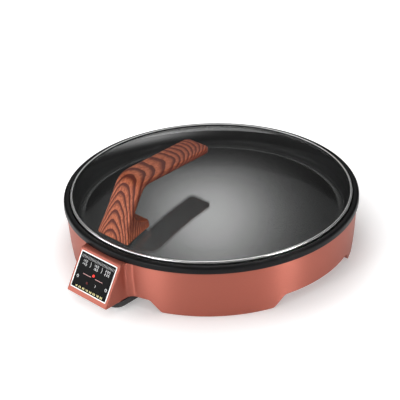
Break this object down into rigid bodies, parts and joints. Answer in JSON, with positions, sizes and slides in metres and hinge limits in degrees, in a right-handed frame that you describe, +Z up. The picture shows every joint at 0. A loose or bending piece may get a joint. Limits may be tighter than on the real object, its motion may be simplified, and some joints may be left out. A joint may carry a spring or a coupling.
{
  "type": "electric baking pan",
  "caption": "Round electric baking pan: shallow non-stick pan in a bowed metallic casing on legs, sloped touch panel, lift-off domed glass lid with a bent wooden handle.",
  "frame": {"origin": "on the worktop, under the middle of the object's box; the pan's axis stands 16.65 mm behind it, towards +Y", "axes": "+Z up along the pan's axis, -Y towards the control panel, +X to the right of a cook who faces the panel"},
  "size_m": [0.3604, 0.393, 0.1414],
  "materials": {
    "copper_casing": "rose-gold metallic paint, satin",
    "black_rubber": "matte",
    "black_plastic": "fine grain",
    "panel_black": "gloss, printed marks",
    "bright_steel": "polished",
    "lamp_red": "lit lens",
    "lamp_dark_red": "unlit lens",
    "circuit_board": "solder resist",
    "fastener_steel": "zinc plated",
    "relay_blue": "moulded",
    "capacitor_grey": "sleeved",
    "terminal_ivory": "moulded",
    "ribbon_grey": "flat cable",
    "pin_brass": "plain",
    "nonstick_coat": "non-stick coating, satin",
    "element_steel": "dull sheath",
    "ceramic_white": "matte",
    "plain_steel": "mill finish",
    "cover_black": "powder coat",
    "wire_brown": "insulation",
    "wire_blue": "insulation",
    "wire_green_yellow": "insulation",
    "wire_red": "silicone insulation",
    "lid_glass": "tempered, clear",
    "handle_wood": "lacquered, dark figure",
    "clear_silicone": "translucent"
  },
  "bodies": {
    "base": {"casing": "copper_casing", "rubber_feet": "black_rubber", "rim_gasket": "black_rubber", "control_tray": "black_plastic", "power_inlet": "black_plastic", "panel_overlay": "panel_black", "panel_bezel": "bright_steel", "heat_lamp": "lamp_red", "timer_lamp": "lamp_dark_red", "control_board": "circuit_board", "power_board": "circuit_board", "tray_screws": "fastener_steel", "board_screws": "fastener_steel", "inlet_screws": "fastener_steel", "pan_studs": "fastener_steel", "stud_nuts": "fastener_steel", "cover_screws": "fastener_steel", "relay": "relay_blue", "capacitor": "capacitor_grey", "terminal_block": "terminal_ivory", "board_ribbon": "ribbon_grey", "inlet_pins": "pin_brass", "pan": "nonstick_coat", "heating_element": "element_steel", "element_pins": "ceramic_white", "thermal_fuse": "ceramic_white", "element_clamps": "plain_steel", "heat_shield": "plain_steel", "sensor_bracket": "plain_steel", "fuse_bracket": "plain_steel", "temperature_sensor": "plain_steel", "bottom_cover": "cover_black", "live_wire": "wire_brown", "neutral_wire": "wire_blue", "earth_wire": "wire_green_yellow", "element_leads": "wire_red"},
    "lid": {"lid_glass": "lid_glass", "lid_ring": "bright_steel", "lid_handle": "handle_wood", "handle_seal": "black_rubber", "handle_screws": "fastener_steel", "handle_washers": "fastener_steel", "screw_seals": "clear_silicone"}
  },
  "joints": [
    {"name": "lid_lift", "type": "slide", "parent": "base", "child": "lid", "axis": [0, 0, 1], "range_m": [0, 0.25]}
  ]
}
